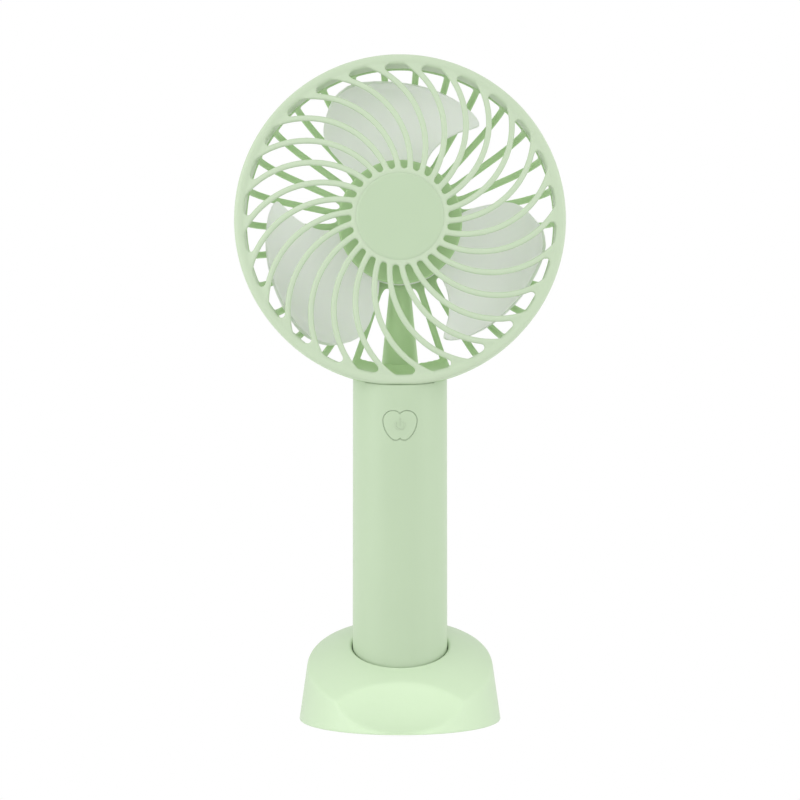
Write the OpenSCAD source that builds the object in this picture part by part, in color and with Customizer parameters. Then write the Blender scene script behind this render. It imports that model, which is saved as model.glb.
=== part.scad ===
// Handheld electric fan, standing in its lift-out table stand.
// Millimetres, +Z up. The fan faces -Y and the origin is under the middle of the stand.
// Pieces of the head are drawn round the rotor axis: see head_axis().

/* [Head] */
// Outer diameter of the guard
head_d = 102; // [92:1:122]
// Width of the guard ring's front face
ring_w = 3.25; // [2.6:0.05:4.5]
// Depth of the front guard's ring
ring_depth = 4.5; // [3.6:0.1:6]
// Depth of the rear guard's ring
rear_ring_depth = 4.4; // [3.6:0.1:6]
// Depth from the front plane of the ring to the flat of the rear guard
bowl_depth = 16.6; // [15.8:0.1:20]
// Radius inside the bend of the rear guard's spokes
bowl_bend_r = 10.4; // [8:0.1:12.5]
// How far the front guard's centre stands in front of its ring
dome_rise = 4.7; // [2:0.1:6]
// Thickness of the guards' spokes from front to back
spoke_t = 1.7; // [1.2:0.1:2.2]
// Number of curved spokes on the front guard
front_spokes = 26; // [16:1:32]
// Width of a front spoke
front_spoke_w = 1.7; // [1.2:0.1:2.2]
// Radius that each front spoke bends to, seen from the front
spoke_curve_r = 27.8; // [26:0.1:36]
// Number of places for straight spokes on the rear guard
rear_spokes = 30; // [20:2:36]
// Width of a rear spoke
rear_spoke_w = 2.05; // [1.4:0.05:2.6]
// Diameter of the front guard's hub
guard_hub_d = 29.4; // [26:0.2:36]
// Width of the rim round the front cap
cap_rim_w = 1.4; // [1:0.1:2.4]

/* [Rotor] */
// Diameter of the rotor's hub
hub_d = 38.6; // [37:0.2:44]
// Depth of the hub's face behind the front plane of the ring
hub_face_depth = 5.7; // [4.5:0.1:6.2]
// Number of blades
blades = 3; // [2:1:5]
// Gap from the blade tips to the inside of the guard ring
tip_gap = 3.75; // [2.5:0.05:6]
// Thickness of a blade
blade_t = 1.2; // [0.8:0.1:1.6]
// Rise of a blade along the axis for each degree round it
blade_pitch = 0.085; // [0.05:0.005:0.095]

/* [Motor] */
// Diameter of the motor
motor_d = 24.4; // [20:0.1:25.6]
// Length of the motor's can
motor_len = 12.3; // [10:0.1:13]
// Diameter of the motor shaft
shaft_d = 2; // [1.5:0.1:3]
// Radial clearance of the shaft in its bushes
shaft_fit = 0.03; // [0.01:0.01:0.08]

/* [Handle] */
// Diameter of the handle
handle_d = 29.6; // [28.6:0.1:31]
// Length of the handle from its foot to the bottom of the guard ring
handle_len = 99; // [97:1:140]
// Wall of the handle
handle_wall = 1.8; // [1.4:0.1:2.4]
// Distance from the bottom of the guard ring down to the middle of the button
button_drop = 12.2; // [11.5:0.1:13]
// Travel of the button
button_travel = 0.5; // [0.3:0.05:0.8]
// Clearance round the button
button_gap = 0.2; // [0.15:0.05:0.3]
// How far the button stands proud of the handle
button_proud = 0.2; // [0:0.05:0.6]
// Diameter of the battery cell
cell_d = 18.4; // [14:0.1:18.6]
// Length of the battery cell
cell_len = 65; // [50:0.5:65.5]

/* [Stand] */
// Diameter of the stand at the table
stand_d = 62.8; // [56:0.2:80]
// Height from the table to the floor of the socket
socket_floor = 5; // [4.5:0.1:8]
// Clearance all round the handle in its socket
socket_gap = 0.6; // [0.4:0.05:1]
// Inward lean of the stand's side, in degrees
stand_draft = 8.1; // [2:0.1:12]
// Radius of the dome that shapes the stand's top, as a share of the stand's diameter
stand_dome_share = 1.1035; // [1.05:0.0005:1.3]
// Distance of the dome's centre behind the handle
stand_dome_back = 21.6; // [16:0.1:24]
// Height of the stand's top just in front of the handle
stand_front_z = 18.6; // [17:0.1:22]
// Radius of the hollow sweep down the stand's front
cove_r = 18; // [15:0.5:24]
// Distance in from the stand's front edge to the crest of that sweep
cove_in = 10.4; // [8:0.2:11]
// Thickness of the non-slip pad
pad_t = 0.6; // [0.4:0.1:1.5]

/* [Hidden] */

$fn = 96;
eps = 0.01;
fit = 0.05;
body_gap = 0.3;

mint = [0.78, 0.88, 0.73];
mint_dark = [0.70, 0.82, 0.64];
pale_grey = [0.88, 0.90, 0.86];
steel = [0.72, 0.73, 0.75];
dark = [0.16, 0.17, 0.18];
copper = [0.75, 0.50, 0.30];

// Heights and places shared by several pieces
handle_r = handle_d / 2;
handle_in_r = handle_r - handle_wall;
head_r = head_d / 2;
foot_z = socket_floor;
ring_bottom_z = foot_z + handle_len;
head_z = ring_bottom_z + head_r;
front_y = -handle_r - 0.2;
button_z = ring_bottom_z - button_drop;

// Front guard
ring_in_r = head_r - ring_w;
ring_round = 1.2;
parting_y = front_y + ring_depth;
spigot_r = head_r - 2;
spigot_len = 2.4;
guard_fit = 0.1;
guard_hub_r = guard_hub_d / 2;
cap_seat_r = guard_hub_r - cap_rim_w;
hub_front_y = front_y - dome_rise;
cap_t = 1.2;
hub_floor_t = 1.6;
dome_edge_y = front_y + 0.2;
dome_c = (dome_edge_y ^ 2 - hub_front_y ^ 2 + ring_in_r ^ 2 - guard_hub_r ^ 2)
    / (2 * (dome_edge_y - hub_front_y));
dome_r = norm([dome_c - hub_front_y, guard_hub_r]);
spoke_in_angle = 12.4;
spoke_out_angle = -25.2;

// Bayonet lugs of the front guard
lugs = 4;
lug_angle = 8;
lug_h = 0.8;
lug_t = 1.2;
lug_first = 45;
guard_twist = 12;

// Rear guard
rear_top_y = parting_y + body_gap;
rear_step_y = rear_top_y + rear_ring_depth;
rear_lip_y = parting_y + spigot_len + body_gap;
rear_in_r = spigot_r + guard_fit;
bowl_in_r = ring_in_r - 0.15;
bend_c_r = bowl_in_r - bowl_bend_r;
flat_y = front_y + bowl_depth;
bend_c_y = flat_y - bowl_bend_r;
bowl_out_r = bowl_in_r + spoke_t;
throat_half = 18;
throat_in_r = head_r - 6.7;
hub_plate_r = hub_d / 2 + 0.7;

// Rotor, from front to back
hub_r = hub_d / 2;
cap_front_y = front_y + hub_face_depth;
hub_cap_t = 1.6;
web_y = cap_front_y + hub_cap_t;
web_t = 1.4;
rotor_cup_r = hub_r - 0.3;
rotor_cup_wall = 1.6;
rotor_back_y = flat_y - 2.4;
boss_r = shaft_d / 2 + 2.2;
boss_len = 2;
tip_r = ring_in_r - tip_gap;
blade_root_r = rotor_cup_r - 0.8;
blade_mid_y = web_y + 3.04;
blade_camber = 0.9;
// Each row is a share of the way from hub to tip, and the blade's two edges in degrees
blade_rows = [[0, -39, 24], [0.16, -42.5, 23.5], [0.36, -43, 27.5], [0.54, -42.5, 33],
    [0.68, -40.5, 38], [0.76, -38, 39], [0.82, -35.5, 34], [0.88, -32.5, 20],
    [0.94, -29, 2], [0.98, -25, -10], [1, -21, -17]];
blade_steps = 8;

// Motor, from front to back
motor_r = motor_d / 2;
clamp_t = 1;
screw_head_h = 1.1;
motor_y = web_y + web_t + boss_len + 1.1;
motor_back_y = motor_y + motor_len;
can_wall = 0.8;
end_cap_t = 1;
bush_r = shaft_d / 2 + 1.5;
bush_len = 1.8;
nose_len = 0.6;
magnet_t = 1.6;
armature_r = motor_r - can_wall - magnet_t - 0.5;
terminal_space = 2.2;
cup_wall = 1.6;
cup_gap = 1.2;
cup_in_r = motor_r + cup_gap;
cup_r = cup_in_r + cup_wall;
cup_back_y = motor_back_y + terminal_space + cup_wall;
cup_ribs = 4;
clamp_screw_d = 1.6;
clamp_boss_r = 1.7;
clamp_screw_r = cup_in_r + clamp_screw_d / 2 + 0.6;
clamp_screws = 3;
clamp_screw_len = 6;
lead_d = 1;

// Neck between the motor cup and the handle
neck_top_z = head_z - cup_r + 1.2;
neck_top_r = 2.85;
neck_foot_z = ring_bottom_z - 1;
neck_foot_r = 6.8;
neck_wall = 1.3;
neck_tilt = atan((neck_foot_r - neck_top_r) / (neck_top_z - neck_foot_z));
cover_w = 2.6;
cover_foot = 11;

// Handle, from the foot up
foot_cap_t = 2;
foot_plug_h = 2.6;
foot_plug_wall = 1.6;
tab_t = 0.3;
foam_t = 3;
cell_z = foot_z + foot_cap_t + foam_t + tab_t;
cell_top_z = cell_z + cell_len;
rib_w = 1.6;
rib_half = 50;
cell_fit = 0.1;
shoulder_r = handle_r + 3.2;
shoulder_y = -3;
shoulder_z = ring_bottom_z + 7 - shoulder_r;
screw_z = ring_bottom_z - 4;
screw_r = 1;
screw_head_r = 1.9;
screw_boss_r = 2.6;
screw_depth = 2.8;
screw_tip_y = -5;
tongue_y = 4;
tongue_t = 3;
tongue_w = 14;
lip_wall = 0.8;
lip_h = 1.2;

// Circuit board and what is on it
board_t = 1.2;
board_w = 20;
board_top_z = screw_z - screw_boss_r - 0.8;
board_h = 16.5;
board_z = board_top_z - board_h;
post_w = 1.5;
post_h = 2;
switch_w = 6;
switch_h = 3.5;
plunger_r = 1.7;
plunger_out = 0.9;
plunger_in = 0.4;
plunger_gap = 0.05;
lobe_x = 2.2;
lobe_y = 1.35;
lobe_r = 2.95;
toe_x = 1.3;
toe_y = -2.9;
toe_r = 1.75;
flank_x = -2.79;
flank_y = 1.71;
flank_r = 7.95;
button_flange_t = 1;
button_flange_w = 0.7;
button_flange_y = -handle_in_r + 1.9;
stem_r = 1.5;
inlet_w = 9;
inlet_h = 3.2;
inlet_z = board_z + 6;
inlet_gap = 0.3;
guide_r = 1;
guide_z = inlet_z + 6;

// Stand
stand_r = stand_d / 2;
stand_dome_r = stand_dome_share * stand_d;
socket_r = handle_r + socket_gap;
post_wall = 2;
post_r = socket_r + post_wall;
stand_lift = 0.3;
plate_t = 1.6;
plate_z = pad_t;
plate_r = stand_r - 3;
pad_r = plate_r - 1.5;
weight_h = 5;
weight_r = stand_r - 5.2;
weight_front = handle_r + 2.6;
cavity_gap = 0.25;
stand_dome_z = stand_front_z - sqrt(stand_dome_r ^ 2 - (handle_r + stand_dome_back) ^ 2);
stand_top_z = stand_dome_z + stand_dome_r;
cove_crest_y = -stand_r + cove_in;
cove_crest_z = stand_dome_z
    + sqrt(stand_dome_r ^ 2 - (cove_crest_y - stand_dome_back) ^ 2);
cove_foot_z = 2.2;
cove_chord = norm([cove_in - 0.3, cove_crest_z - cove_foot_z]);
cove_lean = atan2(cove_crest_z - cove_foot_z, cove_in - 0.3);
cove_reach = sqrt(cove_r ^ 2 - (cove_chord / 2) ^ 2);
cove_y = cove_crest_y - (cove_in - 0.3) / 2 - cove_reach * sin(cove_lean);
cove_z = (cove_crest_z + cove_foot_z) / 2 + cove_reach * cos(cove_lean);
stand_screws = 3;
stand_screw_r = 1.2;
stand_screw_head_r = 2.2;
stand_screw_at = post_r + 2.6;
stand_boss_r = 2.8;
stand_screw_len = 7;

// Points and outlines

// Point at a radius and a clockwise angle from the top, seen from the front
function clock(r, a) = [r * sin(a), -r * cos(a)];

// Corners of a box whose four corners are rounded to c, for turning about an axis
function soft_box(x0, x1, y0, y1, c) = [
    for (k = [[x1 - c, y1 - c, 0], [x0 + c, y1 - c, 90], [x0 + c, y0 + c, 180],
            [x1 - c, y0 + c, 270]])
        for (s = [0 : 15 : 90])
            [k[0] + c * cos(k[2] + s), k[1] + c * sin(k[2] + s)]
];

// Draws round the rotor axis: +Z of the children becomes +Y
module head_axis() {
    translate([0, 0, head_z]) rotate([-90, 0, 0]) children();
}

module disc(r, y0, y1) {
    translate([0, 0, y0]) cylinder(r = r, h = y1 - y0);
}

module ring(r0, r1, y0, y1) {
    difference() {
        disc(r1, y0, y1);
        disc(r0, y0 - 1, y1 + 1);
    }
}

// Round bar along Y in the model's own axes
module bar_y(x, z, r, y0, y1) {
    translate([x, y0, z]) rotate([-90, 0, 0]) cylinder(r = r, h = y1 - y0);
}

function unit(v) = v / norm(v);

// Direction of a route at point i, halfway between the steps on each side of it
function route_dir(p, i) =
    let (last = len(p) - 1)
    i == 0 ? unit(p[1] - p[0])
    : i == last ? unit(p[last] - p[last - 1])
    : unit(unit(p[i] - p[i - 1]) + unit(p[i + 1] - p[i]));

// Round wire swept along points; across is a direction that the route never takes
module wire(points, d, across) {
    sides = 10;
    last = len(points) - 1;
    skin = [for (i = [0 : last])
        let (t = route_dir(points, i), u = unit(cross(t, across)), v = cross(t, u))
        for (k = [0 : sides - 1])
            points[i] + d / 2 * (cos(k * 360 / sides) * u + sin(k * 360 / sides) * v)];
    sleeve = [for (i = [0 : last - 1]) for (k = [0 : sides - 1])
        let (a = i * sides + k, b = i * sides + (k + 1) % sides)
        each [[a, a + sides, b], [b, a + sides, b + sides]]];
    polyhedron(skin, concat([[for (k = [0 : sides - 1]) k]], sleeve,
        [[for (k = [sides - 1 : -1 : 0]) last * sides + k]]));
}

// Front guard

spoke_a = clock(guard_hub_r - 0.6, spoke_in_angle);
spoke_b = clock(ring_in_r + 0.6, spoke_out_angle);
spoke_dir = (spoke_b - spoke_a) / norm(spoke_b - spoke_a);
spoke_bow = sqrt(spoke_curve_r ^ 2 - (norm(spoke_b - spoke_a) / 2) ^ 2);
spoke_c = (spoke_a + spoke_b) / 2 + spoke_bow * [spoke_dir[1], -spoke_dir[0]];
spoke_from = atan2(spoke_b[1] - spoke_c[1], spoke_b[0] - spoke_c[0]);
spoke_to = atan2(spoke_a[1] - spoke_c[1], spoke_a[0] - spoke_c[0]);

module front_spoke() {
    translate([spoke_c[0], spoke_c[1], hub_front_y - 1]) rotate([0, 0, spoke_from])
        rotate_extrude(angle = spoke_to - spoke_from, $fn = 144)
            translate([spoke_curve_r - front_spoke_w / 2, 0])
                square([front_spoke_w, dome_rise + spoke_t + 4]);
}

module dome_band() {
    rotate_extrude()
        intersection() {
            difference() {
                translate([0, dome_c]) circle(r = dome_r, $fn = 720);
                translate([0, dome_c]) circle(r = dome_r - spoke_t, $fn = 720);
            }
            translate([guard_hub_r - 1, hub_front_y - 2])
                square([ring_in_r + 1.4 - guard_hub_r, dome_rise + 6]);
        }
}

module front_lug(a) {
    rotate([0, 0, a - lug_angle / 2]) rotate_extrude(angle = lug_angle)
        translate([spigot_r - 0.4, parting_y + spigot_len - lug_t])
            square([0.4 + lug_h, lug_t]);
}

module front_grille() color(mint) head_axis() {
    rotate_extrude() {
        polygon(soft_box(ring_in_r, head_r, front_y, parting_y, ring_round));
        translate([ring_in_r, parting_y - 2]) square([spigot_r - ring_in_r, spigot_len + 2]);
    }
    for (i = [0 : lugs - 1]) front_lug(lug_first + i * 360 / lugs);
    intersection() {
        dome_band();
        for (i = [0 : front_spokes - 1]) rotate([0, 0, i * 360 / front_spokes]) front_spoke();
    }
    rotate_extrude() polygon([
        [0, hub_front_y + cap_t + hub_floor_t], [guard_hub_r, hub_front_y + cap_t + hub_floor_t],
        [guard_hub_r, hub_front_y + 0.4], [guard_hub_r - 0.4, hub_front_y],
        [cap_seat_r, hub_front_y], [cap_seat_r, hub_front_y + cap_t], [0, hub_front_y + cap_t]]);
}

module front_cap() color(mint) head_axis()
    rotate_extrude() polygon([
        [0, hub_front_y - 0.2], [cap_seat_r - 0.8, hub_front_y - 0.2],
        [cap_seat_r - 0.15, hub_front_y + 0.3], [cap_seat_r - 0.15, hub_front_y + cap_t],
        [0, hub_front_y + cap_t]]);

// Rear guard

// Section of a rear spoke: a straight back, the bend and what is left of a straight side
module bowl_section() {
    translate([hub_plate_r - 1, flat_y]) square([bend_c_r - hub_plate_r + 1, spoke_t]);
    intersection() {
        union() {
            intersection() {
                translate([bend_c_r, bend_c_y]) difference() {
                    circle(r = bowl_bend_r + spoke_t, $fn = 96);
                    circle(r = bowl_bend_r, $fn = 96);
                }
                translate([bend_c_r, bend_c_y]) square(bowl_bend_r + spoke_t + 1);
            }
            translate([bowl_in_r, bend_c_y - 20]) square([spoke_t, 20]);
        }
        translate([0, rear_lip_y + 0.3]) square(100);
    }
}

module rear_spoke(a) {
    rotate([0, 0, a - 90]) rotate([90, 0, 0]) translate([0, 0, -rear_spoke_w / 2])
        linear_extrude(rear_spoke_w) bowl_section();
}

// Places children in the neck's own frame, with +Z up its leaning axis
module neck_axis() {
    translate([0, flat_y + neck_foot_r, neck_foot_z]) rotate([neck_tilt, 0, 0]) children();
}

// The cone of the neck, grown by a margin all round
module neck_cone(grow, low, high) {
    slope = (neck_foot_r - neck_top_r) / (neck_top_z - neck_foot_z);
    neck_axis() translate([0, 0, low])
        cylinder(r1 = neck_foot_r - slope * low + grow, r2 = neck_foot_r - slope * high + grow,
            h = high - low);
}

neck_len = neck_top_z - neck_foot_z;
cover_top = neck_len - 5;

// The neck, flush with the handle at its foot
module neck() {
    intersection() {
        neck_cone(0, 0, neck_len);
        translate([0, 0, neck_foot_z - 5]) cylinder(r = handle_r - 0.4, h = neck_len + 10);
    }
}

// Slot down the back of the neck that its cover fills
module cover_slot(gap) {
    neck_axis() translate([-cover_w / 2 - gap, 0, cover_foot - gap])
        cube([cover_w + 2 * gap, 20, cover_top - cover_foot + 2 * gap]);
}

module neck_cover_shell() {
    difference() {
        neck();
        neck_cone(-neck_wall, -1, neck_len + 1);
    }
}

module clamp_places() {
    for (i = [0 : clamp_screws - 1]) rotate([0, 0, 90 + (i + 0.5) * 360 / clamp_screws])
        translate([clamp_screw_r, 0, 0]) children();
}

module rear_grille() color(mint) difference() {
    union() {
        head_axis() {
            ring(rear_in_r, head_r, rear_top_y, rear_step_y);
            ring(bowl_in_r, head_r - 0.5, rear_lip_y, rear_step_y - 0.4);
            for (i = [0 : rear_spokes - 1]) {
                a = (i + 0.5) * 360 / rear_spokes;
                if (abs(a - 180) > 180 / rear_spokes + 1) rear_spoke(a);
            }
            rotate([0, 0, 90 - throat_half]) rotate_extrude(angle = 2 * throat_half)
                intersection() {
                    bowl_section();
                    translate([throat_in_r, -50]) square(100);
                }
            disc(hub_plate_r, flat_y - 0.2, flat_y + spoke_t + 0.3);
            disc(cup_r, motor_y, cup_back_y);
            clamp_places() disc(clamp_boss_r, motor_y + 0.3, flat_y + 0.5);
        }
        neck();
        intersection() {
            translate([-tongue_w / 2, tongue_y, screw_z - 3])
                cube([tongue_w, tongue_t, neck_foot_z + 2 - screw_z + 3]);
            handle_solid(handle_in_r - 0.1, foot_z);
        }
    }
    head_axis() {
        difference() {
            disc(cup_in_r, motor_y - 1, cup_back_y - cup_wall);
            for (i = [0 : cup_ribs - 1]) rotate([0, 0, 45 + i * 360 / cup_ribs])
                translate([motor_r + fit, -1, motor_y - 2])
                    cube([cup_gap + 1, 2, motor_len]);
        }
        clamp_places() disc(clamp_screw_d / 2, motor_y - 1, motor_y + clamp_screw_len);
    }
    neck_cone(-neck_wall, -1, neck_len + 3);
    cover_slot(0);
    bar_y(0, screw_z, screw_r + 0.2, tongue_y - 1, tongue_y + tongue_t + 1);
    head_axis() for (i = [0 : lugs - 1]) lug_way(lug_first + i * 360 / lugs);
}

// Way cut in the rear ring for one lug: an entry and the turn of the bayonet
module lug_way(a) {
    wide = lug_angle + 2;
    low = parting_y + spigot_len - lug_t - body_gap;
    rotate([0, 0, a - guard_twist - wide / 2]) rotate_extrude(angle = guard_twist + wide)
        translate([spigot_r - 0.5, low]) square([0.5 + lug_h + body_gap, lug_t + 2 * body_gap]);
    rotate([0, 0, a - guard_twist - wide / 2]) rotate_extrude(angle = wide)
        translate([spigot_r - 0.5, rear_top_y - 1])
            square([0.5 + lug_h + body_gap, low - rear_top_y + 1 + eps]);
}

module wire_channel_cover() color(mint_dark) intersection() {
    neck_cover_shell();
    cover_slot(-fit);
}

// Rotor

module rotor_hub_cap() color(mint_dark) head_axis()
    rotate_extrude() polygon([
        [0, cap_front_y], [hub_r - 1, cap_front_y], [hub_r - 0.3, cap_front_y + 0.3],
        [hub_r, cap_front_y + 1], [hub_r, web_y], [0, web_y]]);

// Place on a blade: row i from hub to tip, step j across it, side -1 in front and 1 behind
function blade_point(i, j, side) =
    let (row = blade_rows[i], share = j / blade_steps,
        r = blade_root_r + row[0] * (tip_r - blade_root_r),
        a = row[1] + share * (row[2] - row[1]),
        p = clock(r, a),
        bow = blade_camber * sin(180 * share) * row[0])
    [p[0], p[1], blade_mid_y - (1 + 0.3 * row[0]) * blade_pitch * a + bow + side * blade_t / 2];

module blade() {
    rows = len(blade_rows);
    across = blade_steps + 1;
    count = rows * across;
    points = [for (side = [-1, 1]) for (i = [0 : rows - 1]) for (j = [0 : blade_steps])
        blade_point(i, j, side)];
    front = [for (i = [0 : rows - 2]) for (j = [0 : blade_steps - 1])
        let (k = i * across + j)
        each [[k, k + across, k + 1], [k + 1, k + across, k + across + 1]]];
    back = [for (f = front) [f[0] + count, f[2] + count, f[1] + count]];
    rim = concat([for (j = [0 : blade_steps]) j],
        [for (i = [1 : rows - 1]) i * across + blade_steps],
        [for (j = [blade_steps - 1 : -1 : 0]) (rows - 1) * across + j],
        [for (i = [rows - 2 : -1 : 1]) i * across]);
    n = len(rim);
    edge = [for (k = [0 : n - 1])
        let (a = rim[k], b = rim[(k + 1) % n])
        each [[a, b, b + count], [a, b + count, a + count]]];
    polyhedron(points, concat(front, back, edge));
}

module impeller() color(pale_grey) head_axis() {
    rotate_extrude() polygon([
        [shaft_d / 2, web_y], [rotor_cup_r, web_y], [rotor_cup_r, rotor_back_y],
        [rotor_cup_r - rotor_cup_wall, rotor_back_y],
        [rotor_cup_r - rotor_cup_wall, web_y + web_t], [boss_r, web_y + web_t],
        [boss_r, web_y + web_t + boss_len], [shaft_d / 2, web_y + web_t + boss_len]]);
    for (i = [0 : blades - 1]) rotate([0, 0, i * 360 / blades]) blade();
}

module motor_shaft() color(steel) head_axis()
    disc(shaft_d / 2, web_y, motor_back_y + 0.6);

// Motor

module motor_armature() color(copper) head_axis() {
    ring(shaft_d / 2, armature_r, motor_y + 2.4, motor_back_y - 4.2);
    ring(shaft_d / 2, 2.6, motor_back_y - 4.2, motor_back_y - 2.4);
}

module motor_can() color(steel) head_axis() difference() {
    union() {
        disc(motor_r, motor_y, motor_back_y - end_cap_t);
        disc(bush_r + 0.7, motor_y - nose_len, motor_y + 1);
    }
    disc(motor_r - can_wall, motor_y + can_wall, motor_back_y);
    disc(bush_r, motor_y - 2, motor_y + 3);
}

module motor_magnets() color(dark) head_axis()
    for (side = [0, 180]) rotate([0, 0, side - 60]) rotate_extrude(angle = 120)
        translate([motor_r - can_wall - magnet_t, motor_y + 2.2])
            square([magnet_t, motor_len - 6.2]);

module bush(y) {
    ring(shaft_d / 2 + shaft_fit, bush_r, y, y + bush_len);
}

module motor_front_bush() color("goldenrod") head_axis()
    bush(motor_y - nose_len);

module motor_rear_bush() color("goldenrod") head_axis()
    bush(motor_back_y - bush_len);

module motor_end_cap() color(dark) head_axis() difference() {
    union() {
        disc(motor_r, motor_back_y - end_cap_t, motor_back_y);
        disc(bush_r + 1, motor_back_y - bush_len, motor_back_y);
        for (side = [-1, 1]) translate([side * 5 - 1, 2.6, motor_back_y - 0.5])
            cube([2, 0.6, 1.9]);
    }
    disc(bush_r, motor_back_y - bush_len - 1, motor_back_y + 1);
}

module motor_clamp() color(steel) head_axis() translate([0, 0, motor_y - clamp_t])
    linear_extrude(clamp_t) difference() {
        union() {
            circle(r = cup_r - 0.4);
            clamp_places() circle(r = clamp_boss_r);
        }
        circle(r = motor_r - 5);
        clamp_places() circle(d = clamp_screw_d);
    }

module motor_clamp_screws() color(steel) head_axis() clamp_places() difference() {
    union() {
        disc(clamp_screw_d / 2, motor_y - clamp_t, motor_y + clamp_screw_len - 0.5);
        disc(1.45, motor_y - clamp_t - screw_head_h, motor_y - clamp_t);
    }
    cross_slot(1.6, motor_y - clamp_t - screw_head_h, 0.6);
}

// Cross recess in a screw's head that faces the front
module cross_slot(w, y, deep) {
    for (turn = [0, 90]) rotate([0, 0, turn])
        translate([-w / 2, -0.2, y - 1]) cube([w, 0.4, deep + 1]);
}

lead_back_y = motor_back_y + 1;
lead_side_z = head_z - motor_r - cup_gap / 2;
module motor_leads() color(dark)
    for (side = [-1, 1]) wire([
        [side * 5, lead_back_y, head_z - 4.2], [side * 2.4, lead_back_y, head_z - motor_r],
        [side * 1.1, lead_back_y - 0.8, lead_side_z],
        [side * 0.9, flat_y + 3.2, lead_side_z], [side * 0.9, flat_y + 3.6, neck_top_z - 4],
        [side * 2.4, flat_y + neck_foot_r, neck_foot_z],
        [side * 4.4, tongue_y + tongue_t + 1.2, screw_z - 4],
        [side * 4.4, board_t + 0.6, board_top_z - 2.2]], lead_d, [1, 0, 0]);

// Handle

// The handle's round body with its sloping rear shoulder
module handle_solid(r, low_z) {
    translate([0, 0, low_z]) cylinder(r = r, h = shoulder_z - low_z);
    intersection() {
        translate([0, 0, shoulder_z - eps]) cylinder(r = r, h = 40);
        translate([-40, shoulder_y, shoulder_z]) rotate([0, 90, 0])
            cylinder(r = shoulder_r - (handle_r - r), h = 80);
    }
}

// What the head takes out of the handle's top
module head_seat() {
    head_axis() {
        disc(head_r + body_gap, front_y - 20, rear_top_y - 0.05);
        disc(head_r, front_y - 20, rear_step_y);
        rotate_extrude() {
            translate([0, front_y]) square([bend_c_r, bowl_depth + spoke_t]);
            intersection() {
                translate([bend_c_r, bend_c_y]) circle(r = bowl_bend_r + spoke_t, $fn = 96);
                translate([bend_c_r, bend_c_y]) square(40);
            }
            translate([0, front_y]) square([bowl_out_r, bend_c_y - front_y]);
        }
    }
}

module shell_half(front) {
    difference() {
        handle_solid(handle_r, foot_z + foot_cap_t);
        handle_solid(handle_in_r, foot_z + foot_cap_t - 1);
        head_seat();
        translate([-50, front ? 0 : -100, -1]) cube([100, 100, 400]);
    }
}

// Ribs that hold the cell, on the side of the handle at this angle
module cell_ribs(angle) {
    for (z = [cell_z + 8, cell_top_z - 8 - rib_w])
        translate([0, 0, z]) rotate([0, 0, angle - rib_half])
            rotate_extrude(angle = 2 * rib_half)
                translate([cell_d / 2 + cell_fit, 0])
                    square([handle_in_r + 0.6 - cell_d / 2 - cell_fit, rib_w]);
}

// Posts that hold the board, from the board's face y to the shell's wall
module board_posts(y, dir) {
    for (x = [-1, 1]) for (z = [board_z + 1, board_top_z - 1 - post_h])
        intersection() {
            translate([x * (board_w / 2 - 1.2) - post_w / 2, dir > 0 ? y : y - 30, z])
                cube([post_w, 30, post_h]);
            translate([0, 0, z - 1]) cylinder(r = handle_in_r + 0.6, h = post_h + 2);
        }
}

// Two-lobed outline of the button, seen from the front, grown by a margin
module button_outline(grow) {
    flank = [for (a = [-48 : 4 : -4])
        [flank_x, flank_y] + (flank_r + grow) * [cos(a), sin(a)]];
    for (side = [-1, 1]) {
        translate([side * lobe_x, lobe_y]) circle(r = lobe_r + grow, $fn = 48);
        translate([side * toe_x, toe_y]) circle(r = toe_r + grow, $fn = 48);
    }
    polygon(concat(flank, [for (i = [len(flank) - 1 : -1 : 0]) [-flank[i][0], flank[i][1]]]));
}

module button_bar(grow, y0, y1) {
    translate([0, y1, button_z]) rotate([90, 0, 0]) linear_extrude(y1 - y0)
        button_outline(grow);
}

module handle_front_shell() color(mint) difference() {
    union() {
        shell_half(true);
        cell_ribs(-90);
        board_posts(-fit, -1);
        front_lip();
        intersection() {
            bar_y(0, screw_z, screw_boss_r, -handle_r, tongue_y - fit);
            handle_solid(handle_in_r + 0.6, foot_z);
        }
    }
    button_bar(button_gap, -handle_r - 1, -handle_r + handle_wall + 1.5);
    bar_y(0, screw_z, screw_r, screw_tip_y - 0.5, tongue_y + 1);
}

// Lip along both side seams that centres the rear half
module front_lip() {
    for (side = [0, 180]) rotate([0, 0, side]) intersection() {
        translate([0, 0, foot_z + foot_cap_t + foot_plug_h + 1])
            ring(handle_in_r - lip_wall, handle_in_r - fit, 0, handle_len - 24);
        translate([0, -lip_h, 0]) cube([20, 2 * lip_h, 200]);
    }
    for (side = [-1, 1]) translate([side > 0 ? handle_in_r - lip_wall : -handle_in_r - 0.6,
            -lip_h, foot_z + foot_cap_t + foot_plug_h + 1])
        cube([lip_wall + 0.6, lip_h, handle_len - 24]);
}

module handle_rear_shell() color(mint) difference() {
    union() {
        shell_half(false);
        cell_ribs(90);
        board_posts(board_t + fit, 1);
        intersection() {
            bar_y(0, screw_z, screw_boss_r, tongue_y + tongue_t + fit, handle_r);
            handle_solid(handle_in_r + 0.6, foot_z);
        }
    }
    neck_cone(fit, -fit, neck_len);
    bar_y(0, screw_z, screw_r + 0.2, tongue_y, handle_r);
    bar_y(0, screw_z, screw_head_r + 0.1, handle_r - screw_depth, handle_r + 1);
    translate([0, 0, inlet_z]) rotate([-90, 0, 0])
        linear_extrude(30) inlet_outline(inlet_gap);
    bar_y(0, guide_z, guide_r + fit, 2, 30);
}

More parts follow.
